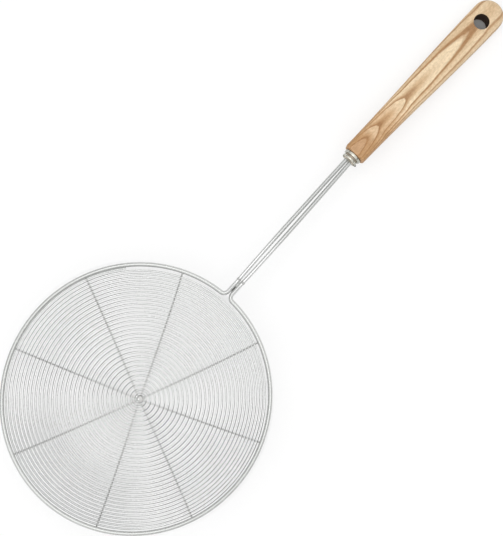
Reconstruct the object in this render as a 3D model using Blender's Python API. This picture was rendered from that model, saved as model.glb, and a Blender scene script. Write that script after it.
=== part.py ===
"""Long-handled skimmer: a domed spiral of wire on eight ribs, a wire frame and a wooden handle.

Lengths are in metres and angles in degrees. Every piece is laid out in the rim's frame: the origin is
the centre of the rim, +X runs to the handle, +Y to the left of it and +Z out of the bowl. All of them
hang from one empty, which lays the skimmer down as it lies on a table, on the foot under its bowl and
on the lower edge of the handle's butt. The middle of the foot's flat is then the world's origin.
"""

import math

import bmesh
import bpy
import numpy as np
from mathutils import Matrix, Vector

# Wire frame: one wire makes the rim and both legs of the stem
RIM_DIAMETER = 0.1797
RIM_OVALITY = 0.0118
FRAME_WIRE = 0.0030
NECK_BEND_RADIUS = 0.0037
NECK_OFFSET = 0.0013
NECK_WELD_REACH = 0.0120
STEM_LENGTH = 0.1231
STEM_LEAN = 0.8
LEG_GAP = 0.0004
LEG_GAP_MIDDLE = 0.00125
LEG_GAP_SKEW = 0.75
TANG_LENGTH = 0.036

# Bowl: a spiral of finer wire on a spherical cap, with ribs under it
BOWL_DEPTH = 0.0486
MESH_WIRE = 0.0015
TURNS = 31
EYE_RADIUS = 0.0018
SPIRAL_END = 47.6
SEAT_ANGLE = 40.0
RIB_WIRE = 0.0012
RIB_HEADINGS = (22.6, 65.8, 110.5, 157.2, 205.4, 247.5, 292.4, 336.8)

# Hub: the weld button at the bottom, ground flat as a foot
HUB_DIAMETER = 0.0056
HUB_CHAMFER = 0.0004
FOOT_PROUD = 0.0012

# Weld between the two legs at the neck
NECK_WELD_LENGTH = 0.0052
NECK_WELD_WIDTH = 0.0024
NECK_WELD_RISE = 0.0005

# Ferrule: two bands with a groove between them
FLANGE_DIAMETER = 0.0126
FLANGE_LENGTH = 0.0023
GROOVE_DIAMETER = 0.0098
GROOVE_LENGTH = 0.0014
NOSE_DIAMETER = 0.0112
NOSE_LENGTH = 0.0023
NOSE_ROUND = 0.0012
PIN_DIAMETER = 0.0013
PIN_PROUD = 0.0006
PIN_ANGLE = 12.0

# Handle
HANDLE_LENGTH = 0.1454
HANDLE_LEAN = -1.27
HANDLE_THICKNESS = 0.0138
HANDLE_WIDTH_FRONT = 0.0161
HANDLE_WIDTH_BUTT = 0.0220
HANDLE_EDGE_RADIUS = 0.0040
HANDLE_FRONT_ROUND = 0.0018
HOLE_DIAMETER = 0.0108
HOLE_TO_TIP = 0.0181
HOLE_CHAMFER = 0.0004

# Gaps between pieces that are welded, pressed or glued together
SEAT_GAP = 0.0003
SOCKET_GAP = 0.0003

# Facets
MESH_SAG = 0.0003
MESH_LEAST_STEPS = 14
RING_STEPS = 72
BEND_STEPS = 7
STEM_STEPS = 12
RIB_STEPS = 12
ROUND_STEPS = 32
FILLET_STEPS = 4
BUTT_STEPS = 14
HANDLE_STATIONS = 16
TWELVE_SIDES = 4
EIGHT_SIDES = 2
SIX_SIDES = 1

# Worked out from the sizes above
FRAME_R = FRAME_WIRE / 2
MESH_R = MESH_WIRE / 2
RIB_R = RIB_WIRE / 2
RIM_R = RIM_DIAMETER / 2 - FRAME_R
SEAT_REACH = FRAME_R + MESH_R + SEAT_GAP
LAST_TURN_R = RIM_R - SEAT_REACH * math.cos(math.radians(SEAT_ANGLE))
LAST_TURN_Z = -SEAT_REACH * math.sin(math.radians(SEAT_ANGLE))
CAP_HEIGHT = BOWL_DEPTH + LAST_TURN_Z
CAP_R = (LAST_TURN_R**2 + CAP_HEIGHT**2) / (2 * CAP_HEIGHT)
CAP_CENTRE_Z = CAP_R - BOWL_DEPTH
RIB_CAP_R = CAP_R + MESH_R + SEAT_GAP + RIB_R
HUB_R = HUB_DIAMETER / 2
HUB_TOP_Z = -(BOWL_DEPTH + MESH_R + SEAT_GAP)
FOOT_Z = HUB_TOP_Z - RIB_WIRE - FOOT_PROUD
LEG_SPREAD = (FRAME_WIRE + LEG_GAP) / 2
NECK_R = RIM_R * (1 + RIM_OVALITY)
FERRULE_LENGTH = FLANGE_LENGTH + GROOVE_LENGTH + NOSE_LENGTH
FERRULE_X = NECK_R + STEM_LENGTH
NECK_END_X = NECK_R + NECK_WELD_REACH
FERRULE_Y = NECK_OFFSET + (FERRULE_X - NECK_END_X) * math.tan(math.radians(STEM_LEAN))
HOLE_X = HANDLE_LENGTH - HOLE_TO_TIP
BUTT_R = HANDLE_WIDTH_BUTT / 2


def clear_scene():
    for obj in list(bpy.data.objects):
        bpy.data.objects.remove(obj, do_unlink=True)


def material(name, colour, roughness, metallic):
    made = bpy.data.materials.new(name)
    made.use_nodes = True
    shader = made.node_tree.nodes["Principled BSDF"]
    shader.inputs["Base Color"].default_value = (*colour, 1.0)
    shader.inputs["Roughness"].default_value = roughness
    shader.inputs["Metallic"].default_value = metallic
    return made


def link(name, data, finish, parent):
    """An object for this mesh or curve, in the rim's frame."""
    obj = bpy.data.objects.new(name, data)
    bpy.context.scene.collection.objects.link(obj)
    obj.data.materials.append(finish)
    obj.parent = parent
    return obj


def wire(name, points, radius, resolution, finish, parent):
    """A round wire along these points, with closed ends."""
    curve = bpy.data.curves.new(name, "CURVE")
    curve.dimensions = "3D"
    curve.twist_mode = "Z_UP"
    curve.bevel_depth = radius
    curve.bevel_resolution = resolution
    curve.use_fill_caps = True
    spline = curve.splines.new("POLY")
    spline.points.add(len(points) - 1)
    for spot, point in zip(spline.points, points):
        spot.co = (*point, 1.0)
    return link(name, curve, finish, parent)


def mesh_object(name, shape, finish, parent):
    """An object for this bmesh, shaded smooth with its edges kept sharp."""
    bmesh.ops.recalc_face_normals(shape, faces=shape.faces)
    mesh = bpy.data.meshes.new(name)
    shape.to_mesh(mesh)
    shape.free()
    mesh.shade_smooth()
    mesh.set_sharp_from_angle(angle=math.radians(35))
    return link(name, mesh, finish, parent)


def turned(profile, axis):
    """A solid turned about an axis through the origin from (radius, height) points on it or off it."""
    shape = bmesh.new()
    rings = []
    side = Vector((0, 0, 1)) if axis.x else Vector((1, 0, 0))
    for radius, height in profile:
        if radius == 0:
            rings.append([shape.verts.new(axis * height)])
            continue
        ring = []
        for k in range(ROUND_STEPS):
            turn = Matrix.Rotation(math.tau * k / ROUND_STEPS, 3, axis)
            ring.append(shape.verts.new(axis * height + turn @ (side * radius)))
        rings.append(ring)
    for lower, upper in zip(rings, rings[1:]):
        for k in range(ROUND_STEPS):
            after = (k + 1) % ROUND_STEPS
            corners = [lower[k % len(lower)], lower[after % len(lower)]]
            corners += [upper[after % len(upper)], upper[k % len(upper)]]
            shape.faces.new(list(dict.fromkeys(corners)))
    return shape


def cut(obj, cutter):
    """Takes one solid out of another, and keeps the cutter as a guide that doesn't render."""
    cutter.hide_render = True
    cutter.display_type = "WIRE"
    taken = obj.modifiers.new(cutter.name, "BOOLEAN")
    taken.operation = "DIFFERENCE"
    taken.solver = "EXACT"
    taken.object = cutter


def oval(heading):
    """How much longer than the mean a radius is in this heading."""
    return 1 + RIM_OVALITY * math.cos(2 * heading)


def rim_point(heading):
    reach = RIM_R * oval(heading)
    return Vector((reach * math.cos(heading), reach * math.sin(heading), 0))


def handle_frame():
    """The handle's own frame: its origin is the middle of the wood's front face."""
    lean = Matrix.Rotation(math.radians(HANDLE_LEAN), 4, "Z")
    front = Vector((FERRULE_X, FERRULE_Y, 0)) + lean.to_3x3() @ Vector((FERRULE_LENGTH, 0, 0))
    return Matrix.Translation(front) @ lean


def rest_tilt():
    """The angle that brings the foot and the lower edge of the butt to one level."""
    edge = handle_frame() @ Vector((HANDLE_LENGTH - HANDLE_EDGE_RADIUS, 0, 0))
    rise = HANDLE_EDGE_RADIUS - HANDLE_THICKNESS / 2 - FOOT_Z
    reach = math.hypot(edge.x, rise)
    return math.atan2(rise, edge.x) - math.asin(HANDLE_EDGE_RADIUS / reach)


def lay_down():
    """The empty that carries the skimmer as it lies on a table."""
    rest = bpy.data.objects.new("lying_on_table", None)
    bpy.context.scene.collection.objects.link(rest)
    turn = Matrix.Rotation(rest_tilt(), 4, "Y")
    rest.matrix_world = turn @ Matrix.Translation((0, 0, -FOOT_Z))
    return rest


def leg_points(side):
    """One leg of the stem, from its end inside the handle to where its neck bend meets the rim."""
    spread = side * LEG_SPREAD
    inside = handle_frame()
    points = [inside @ Vector((TANG_LENGTH, spread, 0))]
    points.append(inside @ Vector((-FERRULE_LENGTH / 2, spread, 0)))
    widest = (LEG_GAP_MIDDLE - LEG_GAP) / 2
    for k in range(STEM_STEPS + 1):
        share = 1 - k / STEM_STEPS
        bow = math.sin(math.pi * share**LEG_GAP_SKEW) * widest
        middle_y = NECK_OFFSET + (FERRULE_Y - NECK_OFFSET) * share
        x = NECK_END_X + (FERRULE_X - NECK_END_X) * share
        points.append(Vector((x, middle_y + spread + side * bow, 0)))
    bend_y = NECK_OFFSET + side * (LEG_SPREAD + NECK_BEND_RADIUS)
    bend_x = math.sqrt((NECK_R + NECK_BEND_RADIUS) ** 2 - bend_y**2)
    swing = math.pi / 2 - math.asin(abs(bend_y) / (NECK_R + NECK_BEND_RADIUS))
    for k in range(BEND_STEPS + 1):
        turn = swing * k / BEND_STEPS
        x = bend_x - NECK_BEND_RADIUS * math.sin(turn)
        y = bend_y - side * NECK_BEND_RADIUS * math.cos(turn)
        points.append(Vector((x, y, 0)))
    return points


def frame_points():
    """The whole frame wire: up the left leg, round the rim and back down the right leg."""
    left = leg_points(1)
    right = leg_points(-1)
    first = math.atan2(left[-1].y, left[-1].x)
    last = math.tau + math.atan2(right[-1].y, right[-1].x)
    ring = [rim_point(first + (last - first) * k / RING_STEPS) for k in range(1, RING_STEPS)]
    return left + ring + right[::-1]


def spiral_points():
    """The bowl's wire, wound out from the eye by equal steps along the dome's curve."""
    reach = CAP_R * math.asin(LAST_TURN_R / CAP_R)
    pitch = reach / TURNS
    turns = TURNS - CAP_R * math.asin(EYE_RADIUS / CAP_R) / pitch
    points = []
    while turns > 1e-6:
        points.append(dome_point(reach - turns * pitch, turns))
        turns -= min(turns, 1 / mesh_steps(points[-1].xy.length))
    points.append(dome_point(reach, 0.0))
    return points


def mesh_steps(radius):
    """How many straight steps a turn of this radius takes to stay true to its curve."""
    return max(MESH_LEAST_STEPS, math.pi / math.acos(1 - MESH_SAG / radius))


def dome_point(reach, turns_left):
    """The point this far from the eye along the dome, this many turns before the wire's outer end."""
    heading = math.radians(SPIRAL_END) + math.tau * turns_left
    radius = CAP_R * math.sin(reach / CAP_R) * oval(heading)
    height = CAP_CENTRE_Z - CAP_R * math.cos(reach / CAP_R)
    return Vector((radius * math.cos(heading), radius * math.sin(heading), height))


def least_gap(points, diameter):
    """The smallest clear distance between stretches of a wire more than half a turn apart."""
    spots = np.array([tuple(point) for point in points])
    middles = (spots[1:] + spots[:-1]) / 2
    spots = np.concatenate([spots, middles])
    order = np.concatenate([np.arange(len(points)), np.arange(len(points) - 1) + 0.5])
    least = math.inf
    for spot, place in zip(spots, order):
        apart = np.linalg.norm(spots - spot, axis=1)
        apart[np.abs(order - place) < MESH_LEAST_STEPS / 2] = math.inf
        least = min(least, apart.min())
    return least - diameter


def rib_points(heading):
    """One rib, under the spiral from the hub's side to the inner side of the rim."""
    rim_far = math.hypot(RIM_R, CAP_CENTRE_Z)
    clear = FRAME_R + SEAT_GAP + RIB_R
    between = (RIB_CAP_R**2 + rim_far**2 - clear**2) / (2 * RIB_CAP_R * rim_far)
    outer = math.atan2(RIM_R, CAP_CENTRE_Z) - math.acos(between)
    inner = math.asin((HUB_R + SEAT_GAP) / RIB_CAP_R)
    points = []
    for k in range(RIB_STEPS + 1):
        angle = inner + (outer - inner) * k / RIB_STEPS
        radius = RIB_CAP_R * math.sin(angle) * oval(heading)
        height = CAP_CENTRE_Z - RIB_CAP_R * math.cos(angle)
        points.append(Vector((radius * math.cos(heading), radius * math.sin(heading), height)))
    return points


def make_frame_wire(steel, parent):
    wire("frame_wire", frame_points(), FRAME_R, EIGHT_SIDES, steel, parent)


def make_spiral(steel, parent):
    points = spiral_points()
    wire("spiral_wire", points, MESH_R, SIX_SIDES, steel, parent)
    print(f"spiral: {len(points)} points, least gap to itself {least_gap(points, MESH_WIRE) * 1000:.2f} mm")


def make_ribs(steel, parent):
    """The ribs, set by hand about an eighth of a turn apart, with the neck between the last and the first."""
    for k, heading in enumerate(RIB_HEADINGS):
        wire(f"rib_{k + 1}", rib_points(math.radians(heading)), RIB_R, SIX_SIDES, steel, parent)


def make_hub(steel, parent):
    """The weld button where the ribs meet. Its underside is ground level with the table."""
    height = HUB_TOP_Z - FOOT_Z
    spare = HUB_R * math.tan(rest_tilt()) + HUB_CHAMFER
    profile = [(0, height), (HUB_R - HUB_CHAMFER, height), (HUB_R, height - HUB_CHAMFER)]
    profile += [(HUB_R, HUB_CHAMFER), (HUB_R - HUB_CHAMFER, 0), (HUB_R - HUB_CHAMFER, -spare), (0, -spare)]
    shape = turned(profile, Vector((0, 0, 1)))
    level = Matrix.Rotation(-rest_tilt(), 3, "Y") @ Vector((0, 0, 1))
    parts = shape.verts[:] + shape.edges[:] + shape.faces[:]
    found = bmesh.ops.bisect_plane(shape, geom=parts, plane_co=(0, 0, 0), plane_no=level, clear_inner=True)
    rim = [part for part in found["geom_cut"] if isinstance(part, bmesh.types.BMEdge)]
    bmesh.ops.contextual_create(shape, geom=rim)
    hub = mesh_object("hub", shape, steel, parent)
    hub.location = (0, 0, FOOT_Z)


def make_neck_weld(steel, parent):
    """The weld bead that lies in the groove between the legs, where they start to part."""
    shape = bmesh.new()
    bmesh.ops.create_uvsphere(shape, u_segments=16, v_segments=8, radius=1)
    edge = groove_height(NECK_WELD_WIDTH / 2)
    for corner in shape.verts:
        x, y, bulge = corner.co
        y *= NECK_WELD_WIDTH / 2
        bulge *= NECK_WELD_RISE if bulge > 0 else edge - groove_height(abs(y))
        corner.co = (x * NECK_WELD_LENGTH / 2, y, edge + bulge)
    weld = mesh_object("neck_weld", shape, steel, parent)
    weld.location = (NECK_END_X - NECK_WELD_LENGTH / 2, NECK_OFFSET, 0)


def groove_height(aside):
    """The lowest that the bead can reach this far from the middle and still clear the legs."""
    return math.sqrt((FRAME_R + SEAT_GAP) ** 2 - (LEG_SPREAD - aside) ** 2)


def socket_cutter(name, start, end, parent):
    """The slot for the two legs, with round sides."""
    shape = bmesh.new()
    radius = FRAME_R + SOCKET_GAP
    outline = []
    for side in (1, -1):
        for k in range(FILLET_STEPS * 2 + 1):
            turn = math.pi * (k / (FILLET_STEPS * 2) - 0.5)
            outline.append((side * (LEG_SPREAD + radius * math.cos(turn)), side * radius * math.sin(turn)))
    near = [shape.verts.new((start, y, z)) for y, z in outline]
    far = [shape.verts.new((end, y, z)) for y, z in outline]
    shape.faces.new(near)
    shape.faces.new(far)
    for k in range(len(outline)):
        after = (k + 1) % len(outline)
        shape.faces.new((near[k], near[after], far[after], far[k]))
    return mesh_object(name, shape, None, parent)


def make_ferrule(steel, parent):
    """The cap on the handle's front: a flange on the wood, a groove and a round nose."""
    flange_r = FLANGE_DIAMETER / 2
    groove_r = GROOVE_DIAMETER / 2
    nose_r = NOSE_DIAMETER / 2
    back = -SEAT_GAP
    flange = -FLANGE_LENGTH
    groove = flange - GROOVE_LENGTH
    front = -FERRULE_LENGTH
    profile = [(0, back), (flange_r, back), (flange_r, flange), (groove_r, flange), (groove_r, groove)]
    profile.append((nose_r, groove))
    for k in range(FILLET_STEPS + 1):
        turn = math.pi / 2 * k / FILLET_STEPS
        radius = nose_r - NOSE_ROUND * (1 - math.cos(turn))
        profile.append((radius, front + NOSE_ROUND * (1 - math.sin(turn))))
    profile.append((0, front))
    ferrule = mesh_object("ferrule", turned(profile, Vector((1, 0, 0))), steel, parent)
    ferrule.matrix_local = handle_frame()
    slot = socket_cutter("ferrule_slot_cutter", 2 * front, -front, parent)
    slot.matrix_local = handle_frame()
    cut(ferrule, slot)
    pin_hole = pin_cylinder("pin_hole_cutter", PIN_DIAMETER + 2 * SOCKET_GAP, 0, NOSE_DIAMETER, None, parent)
    cut(ferrule, pin_hole)


def pin_frame():
    """Runs from the handle's axis out through the nose, down and to the right."""
    down = Matrix.Rotation(math.radians(90 - PIN_ANGLE), 4, "X") @ Matrix.Rotation(math.pi, 4, "X")
    place = Vector((NOSE_LENGTH / 2 - FERRULE_LENGTH, 0, 0))
    return handle_frame() @ Matrix.Translation(place) @ Matrix.Rotation(math.pi, 4, "Z") @ down


def pin_cylinder(name, diameter, start, reach, finish, parent):
    """The pin or its hole, between these distances from the handle's axis, with a domed end."""
    radius = diameter / 2
    dome = radius / 2
    profile = [(0, start), (radius, start), (radius, reach - dome), (radius * 0.7, reach - dome * 0.3)]
    profile.append((0, reach))
    pin = mesh_object(name, turned(profile, Vector((0, 0, 1))), finish, parent)
    pin.matrix_local = pin_frame()
    return pin


def half_width(x):
    """Half of the handle's width this far from its front face."""
    share = x / (HANDLE_LENGTH - BUTT_R)
    flare = share * share * (3 - 2 * share)
    return (HANDLE_WIDTH_FRONT + (HANDLE_WIDTH_BUTT - HANDLE_WIDTH_FRONT) * flare) / 2


def edge_profile(shrink):
    """The handle's side from top to bottom, as (inset, height) with both long edges rounded."""
    half = HANDLE_THICKNESS / 2 - shrink
    radius = HANDLE_EDGE_RADIUS
    levels = []
    for k in range(FILLET_STEPS + 1):
        turn = math.pi / 2 * k / FILLET_STEPS
        levels.append((radius * (1 - math.sin(turn)), half - radius * (1 - math.cos(turn))))
    return levels + [(inset, -height) for inset, height in reversed(levels)]


def handle_stations():
    """Where the sections stand, as (x, inset of the sides): close together over the rounded front edge."""
    stations = []
    for k in range(FILLET_STEPS):
        turn = math.pi / 2 * k / FILLET_STEPS
        depth = HANDLE_FRONT_ROUND * (1 - math.cos(turn))
        stations.append((depth, HANDLE_FRONT_ROUND * (1 - math.sin(turn))))
    straight = HANDLE_LENGTH - BUTT_R - HANDLE_FRONT_ROUND
    for k in range(HANDLE_STATIONS + 1):
        stations.append((HANDLE_FRONT_ROUND + straight * k / HANDLE_STATIONS, 0.0))
    return stations


def handle_shape():
    """The wooden grip: sections along its length, and a butt swept through half a turn.

    The front edge is rounded half as deep over the top and the underside as over the sides.
    """
    shape = bmesh.new()
    rings = []
    for x, shrink in handle_stations():
        half = half_width(x) - shrink
        column = edge_profile(shrink / 2)
        left = [shape.verts.new((x, half - inset, z)) for inset, z in column]
        right = [shape.verts.new((x, inset - half, z)) for inset, z in column]
        rings.append(left + right[::-1])
    shape.faces.new(rings[0])
    for ring, after in zip(rings, rings[1:]):
        for k in range(len(ring)):
            m = (k + 1) % len(ring)
            shape.faces.new((ring[k], after[k], after[m], ring[m]))
    count = len(rings[-1]) // 2
    centre_x = HANDLE_LENGTH - BUTT_R
    columns = [rings[-1][:count]]
    for k in range(1, BUTT_STEPS):
        turn = math.pi * k / BUTT_STEPS
        column = []
        for inset, z in edge_profile(0.0):
            reach = BUTT_R - inset
            spot = (centre_x + reach * math.sin(turn), reach * math.cos(turn), z)
            column.append(shape.verts.new(spot))
        columns.append(column)
    columns.append(rings[-1][count:][::-1])
    for column, after in zip(columns, columns[1:]):
        for k in range(count - 1):
            shape.faces.new((column[k], after[k], after[k + 1], column[k + 1]))
    shape.faces.new([column[0] for column in columns])
    shape.faces.new([column[-1] for column in columns])
    return shape


def hole_shape():
    """The cutter for the hanging hole, flared at both faces for its chamfers."""
    radius = HOLE_DIAMETER / 2
    half = HANDLE_THICKNESS / 2
    wide = radius + 2 * HOLE_CHAMFER
    profile = [(0, 2 * half), (wide, 2 * half), (wide, half + HOLE_CHAMFER), (radius, half - HOLE_CHAMFER)]
    profile += [(radius, HOLE_CHAMFER - half), (wide, -half - HOLE_CHAMFER), (wide, -2 * half), (0, -2 * half)]
    return turned(profile, Vector((0, 0, 1)))


def make_pin(steel, parent):
    """The pin in the nose, from just clear of the leg that it locks to its domed end outside."""
    start = LEG_SPREAD * math.cos(math.radians(PIN_ANGLE)) + FRAME_R + SEAT_GAP
    pin_cylinder("locking_pin", PIN_DIAMETER, start, NOSE_DIAMETER / 2 + PIN_PROUD, steel, parent)


def make_handle(wood, parent):
    handle = mesh_object("handle", handle_shape(), wood, parent)
    handle.matrix_local = handle_frame()
    hole = mesh_object("hanging_hole_cutter", hole_shape(), None, parent)
    hole.matrix_local = handle_frame() @ Matrix.Translation((HOLE_X, 0, 0))
    cut(handle, hole)
    socket = socket_cutter("tang_socket_cutter", -FERRULE_LENGTH, TANG_LENGTH + SEAT_GAP, parent)
    socket.matrix_local = handle_frame()
    cut(handle, socket)


def main():
    clear_scene()
    drawn = material("drawn_steel", (0.74, 0.75, 0.74), 0.22, 1.0)
    fine = material("fine_wire_steel", (0.76, 0.77, 0.76), 0.26, 1.0)
    welded = material("welded_steel", (0.62, 0.62, 0.60), 0.40, 1.0)
    cap = material("cap_steel", (0.72, 0.71, 0.67), 0.30, 1.0)
    ash = material("ash_wood", (0.74, 0.55, 0.36), 0.50, 0.0)
    rest = lay_down()
    make_frame_wire(drawn, rest)
    make_spiral(fine, rest)
    make_ribs(fine, rest)
    make_hub(welded, rest)
    make_neck_weld(welded, rest)
    make_ferrule(cap, rest)
    make_pin(cap, rest)
    make_handle(ash, rest)
    bpy.context.view_layer.update()
    hole = rest.matrix_world @ handle_frame() @ Vector((HOLE_X, 0, 0))
    print(f"lies at {math.degrees(rest_tilt()):.2f} degrees, hanging hole at {tuple(round(c, 4) for c in hole)}")


if __name__ == "__main__":
    main()
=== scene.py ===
"""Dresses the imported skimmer: smooth wires, welds, a turned ferrule and an ash handle, in a bright tent.

Run in Blender as a script. Lengths are in metres. Pieces are worked out in the rim's frame, whose origin
is the centre of the rim, with +X towards the handle and +Z out of the bowl, and are then laid on the
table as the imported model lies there.
"""

import math

import bmesh
import bpy
from bpy.props import FloatProperty, FloatVectorProperty, IntProperty, PointerProperty
from bpy.types import Operator, Panel, PropertyGroup
from mathutils import Matrix, Vector, noise


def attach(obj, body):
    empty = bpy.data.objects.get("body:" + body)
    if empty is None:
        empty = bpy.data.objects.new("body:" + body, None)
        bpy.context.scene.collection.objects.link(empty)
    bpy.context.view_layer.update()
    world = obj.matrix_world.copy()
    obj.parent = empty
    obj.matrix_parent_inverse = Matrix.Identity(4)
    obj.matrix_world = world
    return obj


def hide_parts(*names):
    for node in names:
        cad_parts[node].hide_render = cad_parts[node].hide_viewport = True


bl_info = {
    "name": "Wire Skimmer",
    "version": (1, 0, 0),
    "blender": (4, 5, 0),
    "location": "3D View > Sidebar > Skimmer",
    "description": "Makes the wires, welds, ferrule and handle of a long-handled skimmer",
    "category": "Object",
}

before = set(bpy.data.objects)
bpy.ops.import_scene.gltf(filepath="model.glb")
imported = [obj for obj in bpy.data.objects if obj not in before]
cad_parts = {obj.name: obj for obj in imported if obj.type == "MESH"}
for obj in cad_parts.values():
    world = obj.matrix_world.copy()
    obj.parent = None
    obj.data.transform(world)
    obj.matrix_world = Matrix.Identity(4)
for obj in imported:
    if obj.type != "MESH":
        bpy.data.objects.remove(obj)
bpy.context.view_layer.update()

WHITE = (1.0, 1.0, 1.0)

NECK_OFFSET = 0.0013
NECK_WELD_REACH = 0.0120
NECK_BEND_RADIUS = 0.0037
LEG_GAP = 0.0004
LEG_GAP_MIDDLE = 0.00125
LEG_GAP_SKEW = 0.75
LEG_SUNK = 0.004
LEG_STRAIGHT = 0.003
STEM_LENGTH = 0.1231
STEM_LEAN = math.radians(0.8)
SEAT_ANGLE = math.radians(40)
SEAT_GAP = 0.0003
NUGGET_RADIUS = 0.00042
RIM_NUGGET_RADIUS = 0.00080

# The hub's button, and how high its lumps and the neck's are and how many there are to a metre.
FOOT_PROUD = 0.0012
HUB_ROUND = 0.0006
HUB_INSET = 0.00008
HUB_LUMP = 0.00012
HUB_LUMPS = 620.0
BEAD_LUMP = 0.00008
BEAD_LUMPS = 700.0

HANDLE_LEAN = math.radians(-1.27)
FLANGE_RADIUS = 0.0063
FLANGE_LENGTH = 0.0023
GROOVE_RADIUS = 0.0049
GROOVE_LENGTH = 0.0014
NOSE_RADIUS = 0.0056
NOSE_LENGTH = 0.0023
NOSE_FRONT_RADIUS = 0.0033
NOSE_BAND = 0.0013
FERRULE_LENGTH = FLANGE_LENGTH + GROOVE_LENGTH + NOSE_LENGTH
FERRULE_ROUND = 0.0004
PIN_RADIUS = 0.00065
PIN_PROUD = 0.0006
PIN_BACK = 0.0004
PIN_ANGLE = math.radians(12)

FRONT_ROUND = 0.0018
HOLE_ROUND = 0.0003
HOLE_LIP = 0.0004
DRILL_LENGTH = 0.03
DRILL_FLARE = 0.004
DRILL_CLEAR = 0.002
DRILL_PROUD = 0.00001

# The drops of weld at the neck: place along the stem from the weld's end, half length, half width, level and
# half height.
NECK_DROPS = (
    (-0.0022, 0.00115, 0.00095, 0.00085, 0.0010),
    (-0.0011, 0.00125, 0.00115, 0.00085, 0.0012),
    (-0.0001, 0.00115, 0.00090, 0.00085, 0.0010),
    (-0.0054, 0.0024, 0.00026, 0.0002, 0.0005),
)

# Where the steel's tints and painted shade begin and end at the neck, in metres along the stem from the end
# of its weld.
RIM_FLANK_SHADE_END = (-0.012, -0.008)
HEAT_START = (-0.0100, -0.0080)
HEAT_END = (-0.0015, -0.0004)
THIN_WELD_SHADE_END = (-0.0036, -0.0030)
GROUND_START = (-0.003, 0.001)
GROUND_END = (0.022, 0.050)
JAW_MARK = 0.0021
JAW_HALF_WIDTH = 0.0008

# Where the bowl's tints and painted shade and highlight begin and end, in metres from the rim's axis, a rib's
# middle or the highlight's.
SPIRAL_MIDDLE = (0.008, 0.040)
SPIRAL_OUTSIDE = (0.045, 0.080)
LAST_TURN = (0.0848, 0.0862)
RIB_FADE = (0.008, 0.045)
RIB_SHADE_EDGE = (0.0003, 0.0008)
HIGHLIGHT_EDGE = (0.0003, 0.0007)
HIGHLIGHT_PLACE = (-0.0004, 0.0006)

# The same by heading: how much of the way out goes towards the handle, or how much across it, squared.
FAR_END = (-0.95, -0.6)
WELL_BESIDE = (0.55, 0.85)
BESIDE_START = 0.25
BESIDE_FULL = 0.85

# The colours of the tints and of the painted shade, highlight and reflection.
RIM_FLANK_SHADE = (0.20, 0.20, 0.20)
JAW_GREY = (0.62, 0.62, 0.61)
FAR_SHADE_GREY = (0.42, 0.42, 0.43)
FLANK_SHADE = (0.04, 0.04, 0.04)
RIB_SHADE_GREY = (0.36, 0.36, 0.35)
RIB_BRIGHT = (0.84, 0.84, 0.83)
HUB_GREY = (0.45, 0.45, 0.44)
THIN_WELD_SHADE = (0.26, 0.26, 0.25)
CAP_SIDE_SHADE = (0.30, 0.30, 0.27)
GROOVE_WOOD_REFLECTION = (0.50, 0.43, 0.35)
GROOVE_SHADE = (0.13, 0.12, 0.07)
WOOD_SHADE = (0.82, 0.80, 0.76)

# Where the ferrule's painted shade and reflection lie, in metres to each side of its axis, back from its
# front and into its groove.
CAP_SIDE = (0.0022, 0.0052)
CAP_FRONT = 0.0006
GROOVE_FADE = 0.0001

# The wood's yearly rings, by place along the grip in millimetres: the ring that its middle line meets there
# and the distance between rings, both over RING_SCALE. Then the rings' strength, by their age in years.
MILLIMETRES = 1000.0
GRAIN_LENGTH = 150.0
OLDEST_RING = 10.0
RING_SCALE = 5.0
RING_CLIMB = (
    (0.0, 0.06),
    (13.0, 0.20),
    (25.0, 0.40),
    (31.0, 0.432),
    (37.0, 0.448),
    (45.0, 0.516),
    (51.5, 0.60),
    (71.0, 0.66),
    (94.0, 0.724),
    (109.0, 0.772),
    (121.0, 0.80),
    (127.0, 0.84),
    (150.0, 0.845),
)
RING_SPACING = (
    (0.0, 0.34),
    (40.0, 0.35),
    (50.0, 0.42),
    (71.0, 0.56),
    (94.0, 0.72),
    (117.0, 0.84),
    (150.0, 1.05),
)
RING_STRENGTH = (
    (0.0, 0.60),
    (0.94, 0.60),
    (0.96, 0.75),
    (1.93, 0.75),
    (1.95, 0.85),
    (2.93, 0.85),
    (2.95, 0.72),
    (3.93, 0.72),
    (3.95, 0.80),
    (5.0, 0.7),
)

# Also in millimetres: how far the pith is above the wood's top face and to its side, and the knot's place.
# Then how much the knot is drawn out along the grain, squared.
PITH_ABOVE = 7.0
PITH_ASIDE = 1.3
KNOT_PLACE = (11.3, 0.8)
KNOT_STRETCH = 1.4

# The camera's turns in the rim's frame, its eye in pixels of the photograph, and its lens in millimetres.
VIEW_HEADING = math.radians(47.40)
VIEW_TILT = math.radians(6.59)
VIEW_ROLL = math.radians(-2.87)
EYE_PIXELS = (114.9, 129.5, 1400.0)
PIXEL = 0.000659
LENS = 94.03
SENSOR = 36.0


def length_prop(name, description, default):
    return FloatProperty(name=name, description=description, default=default, unit="LENGTH")


def colour_prop(name, description, default):
    return FloatVectorProperty(name=name, description=description, default=default, subtype="COLOR")


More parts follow.
